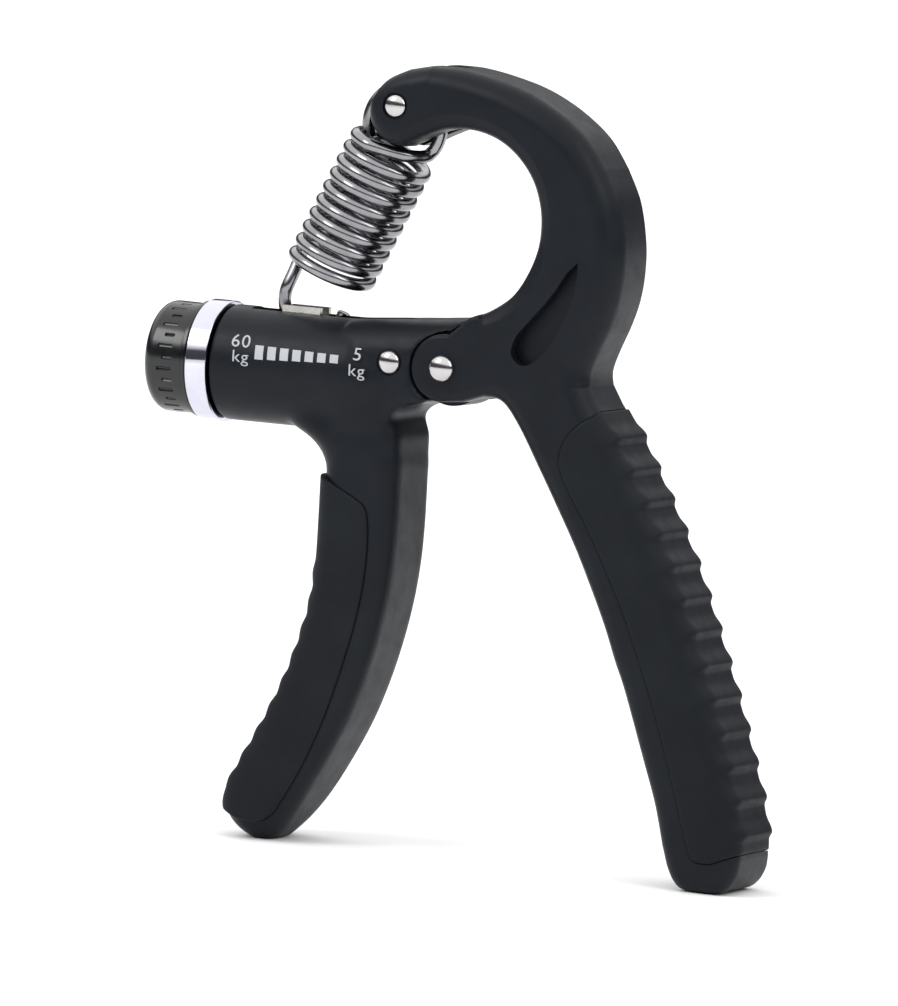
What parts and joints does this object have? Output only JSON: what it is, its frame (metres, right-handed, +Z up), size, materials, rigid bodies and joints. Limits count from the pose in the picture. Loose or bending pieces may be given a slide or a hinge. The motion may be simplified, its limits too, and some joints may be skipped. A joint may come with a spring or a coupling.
{
  "type": "hand grip strengthener",
  "caption": "Adjustable hand grip strengthener: a ribbed front lever with a screw barrel pivots on a hooked rear handle and stretches a coil spring.",
  "frame": {"origin": "centre of the overall box in X and Y, at the level of both handles' soles", "axes": "+Z up along the handles, +X from the adjusting knob towards the rear handle, +Y from the face with the printed level scale to the back; the pivot axis runs along Y"},
  "size_m": [0.1318, 0.0226, 0.152],
  "materials": {
    "body_black": "fine moulded grain, soft sheen",
    "grip_rubber": "matt",
    "knob_black": "gloss",
    "chrome": "polished",
    "nickel": "polished",
    "spring_steel": "bright drawn",
    "screw_steel": "machined",
    "nylon": "smooth"
  },
  "bodies": {
    "rear": {"rear_handle": "body_black", "rear_grip_pad": "grip_rubber", "pivot_rivet": "nickel", "pivot_rivet_cap": "nickel", "hook_pin": "nickel", "hook_pin_cap": "nickel"},
    "front": {"front_handle": "body_black", "front_grip_pad": "grip_rubber", "cross_rivet": "nickel", "cross_rivet_cap": "nickel", "barrel_bearing": "nylon", "chrome_ring": "chrome", "screw_end_bush": "nylon"},
    "knob": {"adjusting_knob": "knob_black", "knob_end_cap": "knob_black", "lead_screw": "screw_steel", "thrust_washer": "screw_steel", "retaining_clip": "screw_steel"},
    "nut": {"travelling_nut": "screw_steel", "nut_dowel": "screw_steel"},
    "spring_swivel": {"pin_sleeve": "nylon"},
    "spring_top": {"spring_eye": "spring_steel"},
    "spring_body": {"spring_coils": "spring_steel"},
    "spring_foot": {"spring_hook": "spring_steel"}
  },
  "joints": [
    {"name": "squeeze_pivot", "type": "hinge", "parent": "rear", "child": "front", "pos_m": [-0.0015, 0, 0.0944], "axis": [0, -1, 0], "range_deg": [0, 30], "stiffness_Nm_per_rad": 12, "springref_deg": -4.58},
    {"name": "knob_turn", "type": "hinge", "parent": "front", "child": "knob", "pos_m": [-0.0015, 0, 0.091], "axis": [1, 0, 0], "range_deg": [-1930, 730]},
    {"name": "nut_travel", "type": "slide", "parent": "front", "child": "nut", "axis": [1, 0, 0], "range_m": [-0.003, 0.008]},
    {"name": "spring_swing", "type": "hinge", "parent": "rear", "child": "spring_swivel", "pos_m": [-0.0149, 0, 0.1436], "axis": [0, -1, 0], "range_deg": [-0.2, 7.9]},
    {"name": "spring_swing_adjust", "type": "hinge", "parent": "spring_swivel", "child": "spring_top", "pos_m": [-0.0149, 0, 0.1436], "axis": [0, -1, 0], "range_deg": [-3.4, 8.7]},
    {"name": "spring_stretch", "type": "slide", "parent": "spring_top", "child": "spring_body", "axis": [-0.4251, 0, -0.9052], "range_m": [-0.0002, 0.0162], "deforming": ["spring_coils"]},
    {"name": "spring_stretch_adjust", "type": "slide", "parent": "spring_body", "child": "spring_foot", "axis": [-0.4251, 0, -0.9052], "range_m": [-0.0036, 0.0015], "deforming": ["spring_hook"]}
  ],
  "couplings": [
    {"joint": "knob_turn", "follows": "nut_travel", "rad_per_m": -4188.8},
    {"joint": "spring_swing", "follows": "squeeze_pivot", "ratio": 0.2565},
    {"joint": "spring_stretch", "follows": "squeeze_pivot", "m_per_rad": 0.03042},
    {"joint": "spring_swing_adjust", "follows": "nut_travel", "rad_per_m": 18.448},
    {"joint": "spring_stretch_adjust", "follows": "nut_travel", "ratio": -0.42446}
  ]
}
